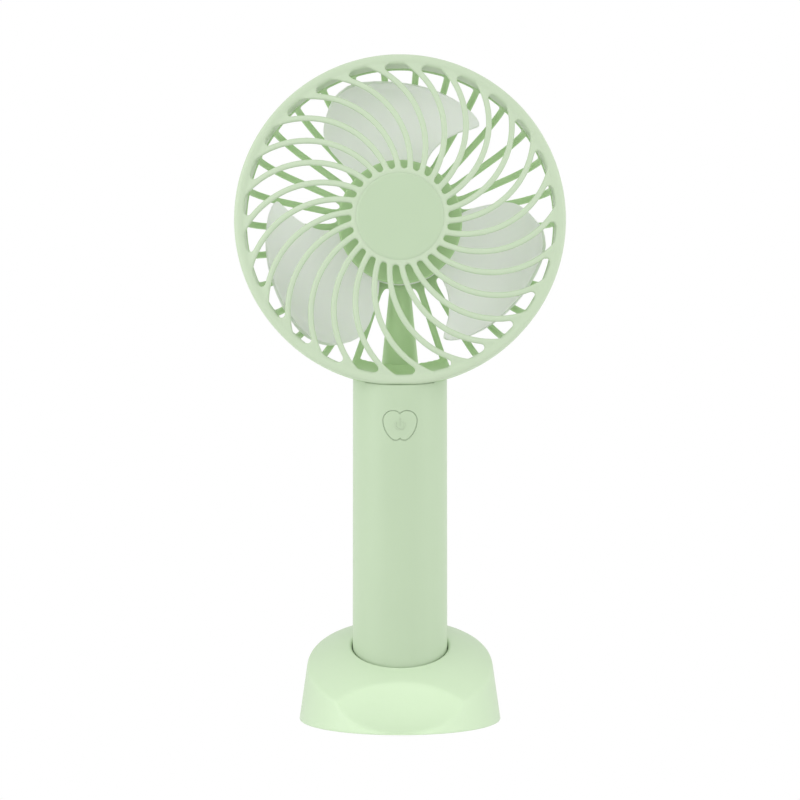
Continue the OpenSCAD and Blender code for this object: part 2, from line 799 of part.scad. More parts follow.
module handle_foot_cap() color(mint) translate([0, 0, foot_z]) rotate_extrude() polygon([
    [0, 0], [handle_r - 0.8, 0], [handle_r, 0.8], [handle_r, foot_cap_t],
    [handle_in_r - fit, foot_cap_t], [handle_in_r - fit, foot_cap_t + foot_plug_h],
    [handle_in_r - foot_plug_wall, foot_cap_t + foot_plug_h],
    [handle_in_r - foot_plug_wall, foot_cap_t], [0, foot_cap_t]]);

module handle_screw() color(steel) {
    seat = handle_r - screw_depth;
    difference() {
        union() {
            bar_y(0, screw_z, screw_r, screw_tip_y, seat);
            bar_y(0, screw_z, screw_head_r, seat, seat + 1.4);
        }
        for (turn = [0, 90]) translate([0, seat + 0.7, screw_z]) rotate([0, turn, 0])
            translate([-1.1, 0, -0.25]) cube([2.2, 2, 0.5]);
    }
}

module screw_plug() color(mint) intersection() {
    bar_y(0, screw_z, screw_head_r + fit, handle_r - screw_depth + 1.5, handle_r + 1);
    translate([0, 0, screw_z - 10]) cylinder(r = handle_r, h = 20);
}

module power_button() color(mint) {
    intersection() {
        button_bar(0, -handle_r - 2, button_flange_y + button_flange_t);
        translate([0, 0, button_z - 10]) cylinder(r = handle_r + button_proud, h = 20);
    }
    button_bar(button_flange_w, button_flange_y, button_flange_y + button_flange_t);
    bar_y(0, button_z, stem_r, button_flange_y + button_flange_t - 0.2,
        -switch_h - plunger_out);
}

module switch_plunger() color(dark)
    bar_y(0, button_z, plunger_r, -switch_h - plunger_out, -switch_h + plunger_in);

module push_switch() color(steel) difference() {
    translate([-switch_w / 2, -switch_h, button_z - switch_w / 2])
        cube([switch_w, switch_h, switch_w]);
    bar_y(0, button_z, plunger_r + plunger_gap, -switch_h - 1,
        -switch_h + plunger_in + button_travel + 0.3);
}

module circuit_board() color("seagreen") {
    translate([-board_w / 2, 0, board_z]) cube([board_w, board_t, board_h]);
    translate([-7, -1, board_z + 3]) cube([4, 1 + eps, 4]);
    translate([2.5, -2, board_z + 1.5]) cube([4.5, 2 + eps, 4.5]);
    for (x = [-6.5, 6]) translate([x, board_t - eps, board_top_z - 6]) cube([1.6, 0.8, 0.9]);
}

// Rounded slot of the charging inlet
module inlet_outline(grow) {
    r = inlet_h / 2 + grow;
    half = inlet_w / 2 - inlet_h / 2;
    square([2 * half, 2 * r], center = true);
    for (side = [-1, 1]) translate([side * half, 0]) circle(r = r, $fn = 32);
}

module charge_inlet() color(steel) {
    out_y = handle_r - 0.9;
    difference() {
        translate([0, board_t, inlet_z]) rotate([-90, 0, 0])
            linear_extrude(out_y - board_t) inlet_outline(0);
        translate([0, out_y - 6, inlet_z]) rotate([-90, 0, 0])
            linear_extrude(8) inlet_outline(-0.35);
    }
    translate([-3.2, out_y - 6.5, inlet_z - 0.35]) cube([6.4, 5.8, 0.7]);
}

module indicator_light_guide() color("white") intersection() {
    bar_y(0, guide_z, guide_r, board_t + 1.2, handle_r + 1);
    translate([0, 0, guide_z - 5]) cylinder(r = handle_r, h = 10);
}

module battery_cell() color("steelblue") translate([0, 0, cell_z]) {
    cylinder(d = cell_d, h = cell_len - 1);
    cylinder(d = 7, h = cell_len);
}

module battery_positive_tab() color(steel)
    translate([-3, -2.5, cell_top_z]) cube([6, 5, tab_t]);

module battery_negative_tab() color(steel)
    translate([-5, -2.5, cell_z - tab_t]) cube([10, 5, tab_t]);

module battery_leads() color("firebrick") {
    side_x = handle_in_r - lip_wall - 1.1;
    wire([[4.6, 0, cell_z - 0.85], [9, 0, cell_z - 0.85], [side_x, 0, cell_z + 0.3],
        [side_x, 0, cell_top_z + 1], [8, -0.6, board_z + 0.6]], lead_d, [0, 1, 0]);
    wire([[-2, 0, cell_top_z + tab_t + 0.5], [-6, -0.3, cell_top_z + 1.6],
        [-8, -0.6, board_z + 0.6]], lead_d, [0, 1, 0]);
}

module battery_foam_pad() color(dark) difference() {
    translate([0, 0, foot_z + foot_cap_t]) cylinder(r = 8, h = foam_t);
    translate([3.6, -1.2, foot_z + foot_cap_t + foam_t - 1.2]) cube([6, 2.4, 2]);
}

// Stand

module stand_outside() {
    top = stand_top_z + 2;
    intersection() {
        translate([0, 0, stand_lift])
            cylinder(r1 = stand_r, r2 = stand_r - tan(stand_draft) * top, h = top, $fn = 144);
        translate([0, stand_dome_back, 0]) rotate([0, 0, 90]) rotate_extrude($fn = 240)
            intersection() {
                translate([0, stand_dome_z]) circle(r = stand_dome_r, $fn = 240);
                translate([0, -1]) square([stand_dome_r, top]);
            }
    }
}

// Room for the weight: round behind, cut straight across in front
module weight_room(gap, low, high) {
    difference() {
        translate([0, 0, low]) cylinder(r = weight_r + gap, h = high - low);
        translate([0, 0, low - 1]) cylinder(r = post_r + 0.2 - gap, h = high - low + 2);
        translate([-50, -100 - weight_front - gap, low - 1]) cube([100, 100, high - low + 2]);
        for (i = [0 : stand_screws - 1]) stand_screw_place(i)
            translate([0, 0, low - 1])
                cylinder(r = stand_boss_r + 0.2 - gap, h = high - low + 2);
    }
}

module stand_screw_place(i) {
    rotate([0, 0, 90 + i * 360 / stand_screws])
        translate([stand_screw_at, 0, 0]) children();
}

weight_z = plate_z + plate_t + 0.05;

module stand_body() color(mint) difference() {
    stand_outside();
    translate([0, 0, socket_floor]) cylinder(r = socket_r, h = 60);
    translate([-50, cove_y, cove_z]) rotate([0, 90, 0]) cylinder(r = cove_r, h = 100, $fn = 144);
    translate([0, 0, -1]) cylinder(r = plate_r + 0.1, h = plate_z + plate_t + 1);
    weight_room(cavity_gap, plate_z, weight_z + weight_h + 0.4);
    for (i = [0 : stand_screws - 1]) stand_screw_place(i)
        cylinder(r = stand_screw_r, h = plate_z + stand_screw_len + 0.5);
}

module stand_weight() color(steel)
    weight_room(0, weight_z, weight_z + weight_h);

module stand_base_plate() color(mint_dark) difference() {
    translate([0, 0, plate_z]) cylinder(r = plate_r, h = plate_t);
    for (i = [0 : stand_screws - 1]) stand_screw_place(i) {
        cylinder(r = stand_screw_r, h = 10);
        translate([0, 0, plate_z - 1]) cylinder(r = stand_screw_head_r + 0.1, h = 1.9);
    }
}

module stand_screws() color(steel) for (i = [0 : stand_screws - 1]) stand_screw_place(i)
    difference() {
        union() {
            translate([0, 0, plate_z + 0.1]) cylinder(r = stand_screw_head_r, h = 0.8);
            translate([0, 0, plate_z + 0.8]) cylinder(r = stand_screw_r, h = stand_screw_len - 0.8);
        }
        for (turn = [0, 90]) rotate([0, 0, turn])
            translate([-1.3, -0.25, plate_z - 0.5]) cube([2.6, 0.5, 0.9]);
    }

module non_slip_pad() color(dark) cylinder(r = pad_r, h = pad_t);

front_grille();
front_cap();
rear_grille();
wire_channel_cover();
rotor_hub_cap();
impeller();
motor_shaft();
motor_armature();
motor_can();
motor_magnets();
motor_front_bush();
motor_rear_bush();
motor_end_cap();
motor_clamp();
motor_clamp_screws();
motor_leads();
handle_front_shell();
handle_rear_shell();
handle_foot_cap();
handle_screw();
screw_plug();
power_button();
switch_plunger();
push_switch();
circuit_board();
charge_inlet();
indicator_light_guide();
battery_cell();
battery_positive_tab();
battery_negative_tab();
battery_leads();
battery_foam_pad();
stand_body();
stand_weight();
stand_base_plate();
stand_screws();
non_slip_pad();
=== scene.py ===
"""Handheld electric fan standing in its table stand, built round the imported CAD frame."""
import math

import bmesh
import bpy
import numpy as np
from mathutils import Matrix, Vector


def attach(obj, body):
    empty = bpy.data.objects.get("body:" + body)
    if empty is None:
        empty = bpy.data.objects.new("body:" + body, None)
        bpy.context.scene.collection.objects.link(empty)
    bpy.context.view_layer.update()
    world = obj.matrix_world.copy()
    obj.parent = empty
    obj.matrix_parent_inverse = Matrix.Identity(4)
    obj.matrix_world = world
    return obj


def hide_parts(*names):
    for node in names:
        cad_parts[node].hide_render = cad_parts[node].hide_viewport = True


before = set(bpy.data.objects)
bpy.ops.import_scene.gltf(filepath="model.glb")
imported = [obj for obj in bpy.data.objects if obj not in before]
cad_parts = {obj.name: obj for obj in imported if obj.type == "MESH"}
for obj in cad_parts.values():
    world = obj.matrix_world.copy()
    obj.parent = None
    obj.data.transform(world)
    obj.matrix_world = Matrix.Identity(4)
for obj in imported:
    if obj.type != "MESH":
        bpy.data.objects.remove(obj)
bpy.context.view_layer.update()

MM = 0.001

# ---------------------------------------------------------------- sizes, in mm
HEAD_Z = 155.0
HEAD_R = 51.0
RING_IN_R = 47.75
FRONT_Y = -15.0
PARTING_Y = -10.5
GUARD_HUB_R = 14.7
CAP_SEAT_R = 13.3
HUB_FRONT_Y = -19.7
SPOKE_T = 1.7
FRONT_SPOKES = 26
FRONT_SPOKE_W = 1.7
SPOKE_CURVE_R = 27.8
SPOKE_IN_ANGLE = 12.4
SPOKE_OUT_ANGLE = -25.2
DOME_C = 193.36
DOME_R = 213.57
REAR_SPOKES = 30
REAR_SPOKE_W = 2.05
BEND_C_R = 37.2
BEND_C_Y = -8.8
BEND_R = 11.25
FLAT_Y = 1.6
HANDLE_R = 14.8
BUTTON_Z = 91.8
BUTTON_CROWN = 0.12
# skin of each moulded guard: voxel size, smoothing passes, share of the triangles kept
FRONT_SKIN = (0.34, 5, 0.58)
REAR_SKIN = (0.38, 5, 0.54)


# ---------------------------------------------------------------- mesh helpers
def place(u, v, y):
    """A point drawn round the rotor axis: u to the right and v down from the axis, y along it."""
    return (u, y, HEAD_Z - v)


def clock(r, degrees):
    """The (u, v) point at a radius and a clockwise angle from the top, seen from the front."""
    a = math.radians(degrees)
    return r * math.sin(a), -r * math.cos(a)


def turned(u, v, degrees):
    """A (u, v) point turned about the rotor axis."""
    a = math.radians(degrees)
    return u * math.cos(a) - v * math.sin(a), u * math.sin(a) + v * math.cos(a)


def rounded(points, steps=4):
    """Closed outline with rounded corners; each point is (x, y, corner radius)."""
    out = []
    n = len(points)
    for i, (x, y, radius) in enumerate(points):
        p = np.array((x, y))
        a = np.array(points[i - 1][:2]) - p
        b = np.array(points[(i + 1) % n][:2]) - p
        la, lb = np.linalg.norm(a), np.linalg.norm(b)
        a, b = a / la, b / lb
        half = math.acos(max(-1.0, min(1.0, float(a @ b)))) / 2
        if radius <= 0 or half > 1.55:
            out.append((x, y))
            continue
        cut = min(radius / math.tan(half), la * 0.49, lb * 0.49)
        radius = cut * math.tan(half)
        mid = (a + b) / np.linalg.norm(a + b)
        centre = p + mid * radius / math.sin(half)
        s, e = p + a * cut - centre, p + b * cut - centre
        a0, a1 = math.atan2(s[1], s[0]), math.atan2(e[1], e[0])
        while a1 - a0 > math.pi:
            a1 -= 2 * math.pi
        while a1 - a0 < -math.pi:
            a1 += 2 * math.pi
        for k in range(steps + 1):
            t = a0 + (a1 - a0) * k / steps
            out.append(tuple(centre + radius * np.array((math.cos(t), math.sin(t)))))
    return out


def tube(rings, closed=False):
    """Joins rings of points, each the same count, into a skin; open ends get caps."""
    n, m = len(rings), len(rings[0])
    verts = [p for ring in rings for p in ring]
    faces = []
    for i in range(n if closed else n - 1):
        j = (i + 1) % n
        for k in range(m):
            q = (k + 1) % m
            faces.append((i * m + k, i * m + q, j * m + q, j * m + k))
    if not closed:
        faces.append(tuple(range(m - 1, -1, -1)))
        faces.append(tuple(range((n - 1) * m, n * m)))
    return verts, faces


def turn_head(outline, start=0.0, end=360.0, steps=192):
    """Turns a closed outline of (r, y) points round the rotor axis."""
    full = abs(end - start) >= 360
    count = steps if full else steps + 1
    rings = []
    for i in range(count):
        a = start + (end - start) * i / steps
        rings.append([place(*clock(max(r, 0.0), a), y) for r, y in outline])
    return tube(rings, closed=full)


def spun(part, degrees):
    """A part turned about the rotor axis."""
    verts, faces = part
    out = []
    for x, y, z in verts:
        u, v = turned(x, HEAD_Z - z, degrees)
        out.append(place(u, v, y))
    return out, faces


def make(name, parts):
    """One mesh object from closed parts, in metres."""
    verts, faces = [], []
    for v, f in parts:
        base = len(verts)
        verts += [(x * MM, y * MM, z * MM) for x, y, z in v]
        faces += [tuple(base + i for i in poly) for poly in f]
    mesh = bpy.data.meshes.new(name)
    mesh.from_pydata(verts, [], faces)
    bm = bmesh.new()
    bm.from_mesh(mesh)
    bmesh.ops.remove_doubles(bm, verts=bm.verts, dist=2e-7)
    bmesh.ops.dissolve_degenerate(bm, edges=bm.edges, dist=1e-7)
    bmesh.ops.recalc_face_normals(bm, faces=bm.faces)
    bm.to_mesh(mesh)
    bm.free()
    mesh.polygons.foreach_set("use_smooth", [True] * len(mesh.polygons))
    obj = bpy.data.objects.new(name, mesh)
    bpy.context.scene.collection.objects.link(obj)
    return obj


def settle(obj):
    """Applies all modifiers to the object's own mesh."""
    bpy.context.view_layer.update()
    dg = bpy.context.evaluated_depsgraph_get()
    mesh = bpy.data.meshes.new_from_object(obj.evaluated_get(dg))
    obj.modifiers.clear()
    old, obj.data = obj.data, mesh
    bpy.data.meshes.remove(old)
    mesh.name = obj.name


def moulded(obj, voxel, passes, keep):
    """Joins overlapping parts into one skin: voxel size in mm, smoothing passes, share kept."""
    skin = obj.modifiers.new("skin", "REMESH")
    skin.mode = "VOXEL"
    skin.voxel_size = voxel * MM
    skin.use_smooth_shade = True
    soft = obj.modifiers.new("soft", "SMOOTH")
    soft.factor = 0.5
    soft.iterations = passes
    thin = obj.modifiers.new("thin", "DECIMATE")
    thin.ratio = keep
    settle(obj)
    obj.data.polygons.foreach_set("use_smooth", [True] * len(obj.data.polygons))


def sharp(obj, degrees=35):
    """Smooth shading with sharp edges over an angle."""
    bm = bmesh.new()
    bm.from_mesh(obj.data)
    limit = math.radians(degrees)
    for e in bm.edges:
        e.smooth = not (e.is_manifold and e.calc_face_angle(0) > limit)
    bm.to_mesh(obj.data)
    bm.free()
    return obj


def absorb(obj, extra):
    """Adds another object's mesh to this one, then removes that object."""
    bm = bmesh.new()
    bm.from_mesh(obj.data)
    bm.from_mesh(extra.data)
    bm.to_mesh(obj.data)
    bm.free()
    bpy.data.objects.remove(extra)


def cut(obj, cutter, operation="DIFFERENCE"):
    """Exact boolean with another object, which is then removed."""
    m = obj.modifiers.new("cut", "BOOLEAN")
    m.operation = operation
    m.object = cutter
    m.solver = "EXACT"
    m.use_self = True
    settle(obj)
    bpy.data.objects.remove(cutter)


# ---------------------------------------------------------------- materials
def node(tree, kind, **inputs):
    """A new shader node with some of its inputs set; spaces in their names are written _."""
    n = tree.nodes.new(kind)
    for key, value in inputs.items():
        n.inputs[key.replace("_", " ")].default_value = value
    return n


ROUGH_SPREAD = 0.05


def surface(name, colour, rough, spread=0.02, grain_size=900.0, bump=0.02,
            metallic=0.0, sub=0.0, coat=0.0):
    """Moulded or turned surface: a base colour that drifts a little, fine grain and bump."""
    mat = bpy.data.materials.new(name)
    mat.use_nodes = True
    tree = mat.node_tree
    link = tree.links.new
    bsdf = tree.nodes["Principled BSDF"]
    bsdf.inputs["Metallic"].default_value = metallic
    bsdf.inputs["Specular IOR Level"].default_value = 0.5
    bsdf.inputs["Coat Weight"].default_value = coat
    bsdf.inputs["Coat Roughness"].default_value = 0.25
    bsdf.inputs["Subsurface Weight"].default_value = sub
    bsdf.inputs["Subsurface Radius"].default_value = (0.9, 1.0, 0.8)
    bsdf.inputs["Subsurface Scale"].default_value = 0.0012
    where = node(tree, "ShaderNodeTexCoord")
    drift = node(tree, "ShaderNodeTexNoise", Scale=38.0, Detail=3.0, Roughness=0.55)
    fine = node(tree, "ShaderNodeTexNoise", Scale=grain_size, Detail=4.0, Roughness=0.6)
    for n in (drift, fine):
        link(where.outputs["Object"], n.inputs["Vector"])
    ramp = node(tree, "ShaderNodeValToRGB")
    low = [c * (1 - spread) for c in colour]
    high = [min(1.0, c * (1 + spread)) for c in colour]
    ramp.color_ramp.elements[0].position = 0.3
    ramp.color_ramp.elements[1].position = 0.7
    ramp.color_ramp.elements[0].color = (*low, 1)
    ramp.color_ramp.elements[1].color = (*high, 1)
    link(drift.outputs["Fac"], ramp.inputs["Fac"])
    link(ramp.outputs["Color"], bsdf.inputs["Base Color"])
    span = node(tree, "ShaderNodeMapRange")
    span.inputs["To Min"].default_value = rough - ROUGH_SPREAD
    span.inputs["To Max"].default_value = rough + ROUGH_SPREAD
    link(fine.outputs["Fac"], span.inputs["Value"])
    link(span.outputs["Result"], bsdf.inputs["Roughness"])
    bumps = node(tree, "ShaderNodeBump", Strength=bump, Distance=0.0004)
    link(fine.outputs["Fac"], bumps.inputs["Height"])
    link(bumps.outputs["Normal"], bsdf.inputs["Normal"])
    return mat


def mint(name, tint, rough):
    """The fan's mint plastic, with its colour multiplied by a tint."""
    colour = tuple(c * k for c, k in zip((0.482, 0.606, 0.418), tint))
    return surface(name, colour, rough, spread=0.012, bump=0.05, sub=0.15)


# Lighter copy of the mint for the front guard: painted light, its colour raised for how brightly
# the guard is lit.
lit_mint_copy = mint("mint_painted_light", (1.10, 1.055, 1.11), 0.42)
# Darker, greener copy of the mint for the rear guard and the rotor disc: painted shade for the
# shadow they sit in behind the front guard.
shaded_mint_copy = mint("mint_painted_shade", (0.96, 1.09, 0.83), 0.45)
materials = {
    "mint_plastic": mint("mint_moulded", (1, 1, 1), 0.42),
    "blade_plastic": surface("pale_blade", (0.84, 0.865, 0.83), 0.34, spread=0.012, bump=0.03,
                             sub=0.25),
    "steel": surface("brushed_steel", (0.62, 0.63, 0.65), 0.32, metallic=1.0, spread=0.05,
                     grain_size=1500.0),
    "bronze": surface("sintered_bronze", (0.66, 0.47, 0.24), 0.5, metallic=1.0, spread=0.1),
    "copper_winding": surface("enamelled_copper", (0.62, 0.30, 0.16), 0.35, metallic=1.0,
                              spread=0.15),
    "magnet": surface("ferrite", (0.07, 0.07, 0.075), 0.6, spread=0.2),
    "black_plastic": surface("black_moulded", (0.03, 0.03, 0.032), 0.5, spread=0.15),
    "board": surface("board_lacquer", (0.03, 0.16, 0.07), 0.3, spread=0.15, coat=0.4),
    "light_guide": surface("clear_guide", (0.80, 0.84, 0.78), 0.2, spread=0.01, sub=0.3),
    "cell_wrap": surface("cell_sleeve", (0.05, 0.19, 0.42), 0.3, spread=0.08),
    "wire_cover": surface("wire_sleeve", (0.35, 0.04, 0.035), 0.45, spread=0.1),
    "foam": surface("closed_foam", (0.05, 0.05, 0.052), 0.9, spread=0.3, bump=0.4,
                    grain_size=2500.0),
}

SLOT_OF = {
    "front_cap": "mint_plastic", "wire_channel_cover": "mint_plastic",
    "handle_front_shell": "mint_plastic", "handle_rear_shell": "mint_plastic",
    "handle_foot_cap": "mint_plastic", "screw_plug": "mint_plastic",
    "front_grille": "mint_plastic", "rear_grille": "mint_plastic",
    "rotor_hub_cap": "mint_plastic", "power_button": "mint_plastic",
    "stand_body": "mint_plastic", "stand_base_plate": "mint_plastic",
    "impeller": "blade_plastic", "motor_shaft": "steel", "motor_can": "steel",
    "motor_clamp": "steel", "motor_clamp_screws": "steel", "handle_screw": "steel",
    "push_switch": "steel", "charge_inlet": "steel", "battery_positive_tab": "steel",
    "battery_negative_tab": "steel", "stand_weight": "steel", "stand_screws": "steel",
    "motor_front_bush": "bronze", "motor_rear_bush": "bronze",
    "motor_armature": "copper_winding", "motor_magnets": "magnet",
    "motor_end_cap": "black_plastic", "switch_plunger": "black_plastic",
    "circuit_board": "board", "indicator_light_guide": "light_guide",
    "battery_cell": "cell_wrap", "motor_leads": "wire_cover", "battery_leads": "wire_cover",
    "battery_foam_pad": "foam", "non_slip_pad": "foam",
}
for name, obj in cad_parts.items():
    obj.data.materials.clear()
    obj.data.materials.append(materials[SLOT_OF[name]])


def finish_piece(obj, body, slot, *nodes, mat=None):
    """Gives a piece its material, taken from its slot unless one is given, puts it in its body
    and hides the CAD nodes it replaces.
    """
    obj.data.materials.clear()
    obj.data.materials.append(mat or materials[slot])
    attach(obj, body)
    if nodes:
        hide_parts(*nodes)


# ---------------------------------------------------------------- front guard
def flare(gap, radius):
    """Half-width that a fillet of this radius adds at a distance from the wall it meets."""
    if gap >= radius:
        return 0.0
    gap = max(gap, 0.0)
    return radius - math.sqrt(radius * radius - (radius - gap) ** 2)


def bar_section(width, thick, corner):
    """Outline of a bar with rounded corners, about its middle."""
    w, t = width / 2, thick / 2
    return rounded([(-w, -t, corner), (w, -t, corner), (w, t, corner), (-w, t, corner)], 3)


def crossing(p, r0, q, r1, near):
    """Where two circles meet, at the meeting point nearest to a given point."""
    p, q = np.array(p, float), np.array(q, float)
    gap = q - p
    d = np.linalg.norm(gap)
    along = (r0 * r0 - r1 * r1 + d * d) / (2 * d)
    up = math.sqrt(max(r0 * r0 - along * along, 0.0))
    mid = p + gap / d * along
    side = np.array((-gap[1], gap[0])) / d * up
    return min((mid + side, mid - side), key=lambda c: float(np.linalg.norm(c - near)))


def spoke_arc():
    """Centre, start and end of a front spoke's arc, and its angles about the centre."""
    a = np.array(clock(GUARD_HUB_R - 0.6, SPOKE_IN_ANGLE))
    b = np.array(clock(RING_IN_R + 0.7, SPOKE_OUT_ANGLE))
    along = (b - a) / np.linalg.norm(b - a)
    bow = math.sqrt(SPOKE_CURVE_R ** 2 - (np.linalg.norm(b - a) / 2) ** 2)
    c = (a + b) / 2 + bow * np.array((along[1], -along[0]))
    t0 = math.atan2(a[1] - c[1], a[0] - c[0])
    t1 = math.atan2(b[1] - c[1], b[0] - c[0])
    if t1 - t0 > math.pi:
        t1 -= 2 * math.pi
    if t1 - t0 < -math.pi:
        t1 += 2 * math.pi
    return c, a, b, t0, t1


def dome_y(r):
    """Front surface of the spokes' dome at a radius."""
    return DOME_C - math.sqrt(DOME_R ** 2 - r * r)


def front_spoke():
    """One curved front spoke, lying in the dome."""
    c, a, b, t0, t1 = spoke_arc()
    rings = []
    steps = 48
    for i in range(steps + 1):
        t = t0 + (t1 - t0) * i / steps
        side = np.array((math.cos(t), math.sin(t)))
        p = c + SPOKE_CURVE_R * side
        r = float(np.linalg.norm(p))
        y = dome_y(r) + SPOKE_T / 2
        slope = float(p @ side) / math.sqrt(DOME_R ** 2 - r * r)
        ring = []
        for w, d in bar_section(FRONT_SPOKE_W + 0.12, SPOKE_T + 0.1, 0.6):
            q = p + side * w
            ring.append(place(q[0], q[1], y + d + slope * w))
        rings.append(ring)
    return tube(rings)


def gusset(wall_r, outward, side, radius):
    """Fillet plate between one flank of a front spoke and the ring or the hub."""
    c, a, b, t0, t1 = spoke_arc()
    end = b if outward else a
    flank = SPOKE_CURVE_R + side * FRONT_SPOKE_W / 2
    corner = crossing((0, 0), wall_r, c, flank, end)
    off = wall_r - radius if outward else wall_r + radius
    f = crossing((0, 0), off, c, flank + side * radius, end)
    on_wall = f / np.linalg.norm(f) * wall_r
    on_spoke = c + (f - c) / np.linalg.norm(f - c) * flank
    a0 = math.atan2(*(on_wall - f)[::-1])
    a1 = math.atan2(*(on_spoke - f)[::-1])
    span = (a1 - a0 + math.pi) % (2 * math.pi) - math.pi
    arc = [f + radius * np.array((math.cos(a0 + span * k / 8), math.sin(a0 + span * k / 8)))
           for k in range(9)]
    sink = 0.45
    wall_in = [p * (wall_r + (sink if outward else -sink)) / wall_r for p in (on_wall, corner)]
    into = (c - on_spoke) / np.linalg.norm(c - on_spoke) * side * sink
    outline = arc + [on_spoke + into, corner + into, wall_in[1], wall_in[0]]
    low, high = [], []
    for p in outline:
        y = dome_y(float(np.linalg.norm(p)))
        low.append(place(p[0], p[1], y + 0.02))
        high.append(place(p[0], p[1], y + SPOKE_T - 0.02))
    return tube([low, high])


ring_outline = rounded([
    (RING_IN_R, FRONT_Y, 1.25), (HEAD_R, FRONT_Y, 1.6), (HEAD_R, PARTING_Y, 0.3),
    (49.0, PARTING_Y, 0), (49.0, -8.1, 0.25), (RING_IN_R, -8.1, 0.25)], 6)
hub_outline = rounded([
    (0, -16.9, 0), (0, -18.4, 0), (12.8, -18.4, 0.1), (12.8, -19.35, 0),
    (CAP_SEAT_R, -19.35, 0.1), (CAP_SEAT_R, HUB_FRONT_Y, 0.2),
    (GUARD_HUB_R, HUB_FRONT_Y, 0.55), (GUARD_HUB_R, -16.9, 0.35)], 5)
one_spoke = [front_spoke()] + [
    gusset(GUARD_HUB_R, False, side, 0.85) for side in (-1, 1)] + [
    gusset(RING_IN_R, True, side, 1.1) for side in (-1, 1)]
guard = make("front_guard_moulding", [
    turn_head(ring_outline, steps=256), turn_head(hub_outline)]
    + [spun(part, i * 360 / FRONT_SPOKES) for part in one_spoke for i in range(FRONT_SPOKES)])
moulded(guard, *FRONT_SKIN)
# the front guard wears the lighter copy of the mint, with painted light in its colour
finish_piece(guard, "front_guard", "mint_plastic", "front_grille", mat=lit_mint_copy)

cap_outline = rounded([
    (0, -19.9, 0), (CAP_SEAT_R - 0.55, -19.9, 0.6), (CAP_SEAT_R + 0.1, -19.6, 0.1),
    (CAP_SEAT_R + 0.1, -19.4, 0), (12.65, -19.4, 0), (12.65, -18.5, 0.1), (0, -18.5, 0)], 6)
cap = make("front_cap_disc", [turn_head(cap_outline)])
finish_piece(sharp(cap), "front_guard", "mint_plastic", "front_cap")


# ---------------------------------------------------------------- rear guard
def rear_path():
    """Middle line of a rear spoke as (r, y), from the hub plate to the ring."""
    out = [(r, FLAT_Y + SPOKE_T / 2) for r in np.linspace(19.0, BEND_C_R, 12)[:-1]]
    for a in np.linspace(90, 0, 15):
        out.append((BEND_C_R + BEND_R * math.cos(math.radians(a)),
                    BEND_C_Y + BEND_R * math.sin(math.radians(a))))
    return out


def swept_spoke(path, width_at, thick, angle):
    """A bar of changing width along a path of (r, y), at an angle round the axis."""
    rings = []
    for i, (r, y) in enumerate(path):
        r0, y0 = path[max(i - 1, 0)]
        r1, y1 = path[min(i + 1, len(path) - 1)]
        d = math.hypot(r1 - r0, y1 - y0)
        nr, ny = -(y1 - y0) / d, (r1 - r0) / d
        ring = []
        for w, k in bar_section(width_at(r, y), thick, 0.62):
            u, v = clock(r + nr * k, 0)
            ring.append(place(*turned(u + w, v, angle), y + ny * k))
        rings.append(ring)
    return tube(rings)


def rear_width(r, y):
    """Width of a rear spoke, with fillets at the hub plate and at the ring."""
    to_ring = -7.0 - y if y < -7 else y + 7.8
    return REAR_SPOKE_W + 0.12 + 2 * flare(r - 20.0, 1.6) + 2 * flare(to_ring, 0.8)


parts = []
rear_ring = rounded([
    (49.1, -10.2, 0.2), (HEAD_R, -10.2, 0.3), (HEAD_R, -5.8, 1.1), (47.6, -5.8, 0.8),
    (47.6, -7.8, 0.2), (50.0, -7.8, 0), (50.0, -9.5, 0), (49.1, -9.5, 0)], 5)
parts.append(turn_head(rear_ring, steps=256))
for i in range(REAR_SPOKES):
    angle = (i + 0.5) * 360 / REAR_SPOKES
    if abs(angle - 180) > 180 / REAR_SPOKES + 1:
        parts.append(swept_spoke(rear_path(), rear_width, SPOKE_T + 0.1, angle))
# wall of the bowl that fills the place of the missing spokes over the handle
THROAT_REACH = 7.1
THROAT_HALF_ANGLE = 18
half = SPOKE_T / 2 + 0.03
throat = []
for sign in (1, -1):
    line = []
    for a in np.linspace(math.degrees(math.acos(THROAT_REACH / BEND_R)), 0, 12):
        rr = BEND_R + sign * half
        line.append((BEND_C_R + rr * math.cos(math.radians(a)),
                     BEND_C_Y + rr * math.sin(math.radians(a))))
    throat += line if sign > 0 else line[::-1]
parts.append(turn_head(throat, 180 - THROAT_HALF_ANGLE, 180 + THROAT_HALF_ANGLE, 48))
parts.append(turn_head(rounded([
    (0, 1.4, 0), (20, 1.4, 0.5), (20, 3.6, 0.5), (15, 3.6, 0.6), (15, 12.9, 1.6), (0, 12.9, 0),
    (0, 11.3, 0), (13.4, 11.3, 0.4), (13.4, 1.0, 0), (13.4, -3.2, 0.1), (15, -3.2, 0.3),
    (15, 1.4, 0.3)], 5)))


NECK_FOOT_Y, NECK_FOOT_Z = 8.4, 103.0
NECK_LEN = 38.2
NECK_FOOT_R, NECK_TOP_R = 6.8, 2.85
NECK_WALL = 1.3


def neck_ring(height, radius, start, end, steps):
    """Points round the neck's leaning axis, from one angle to another; 90 degrees is the back."""
    tilt = math.atan((NECK_FOOT_R - NECK_TOP_R) / NECK_LEN)
    out = []
    for i in range(steps + 1):
        a = math.radians(start + (end - start) * i / steps)
        x, y = radius * math.cos(a), radius * math.sin(a)
        yy = NECK_FOOT_Y + y * math.cos(tilt) - height * math.sin(tilt)
        zz = NECK_FOOT_Z + y * math.sin(tilt) + height * math.cos(tilt)
        limit = HANDLE_R - 0.4
        far = math.hypot(x, yy)
        if far > limit:
            x, yy = x * limit / far, yy * limit / far
        out.append((x, yy, zz))
    return out


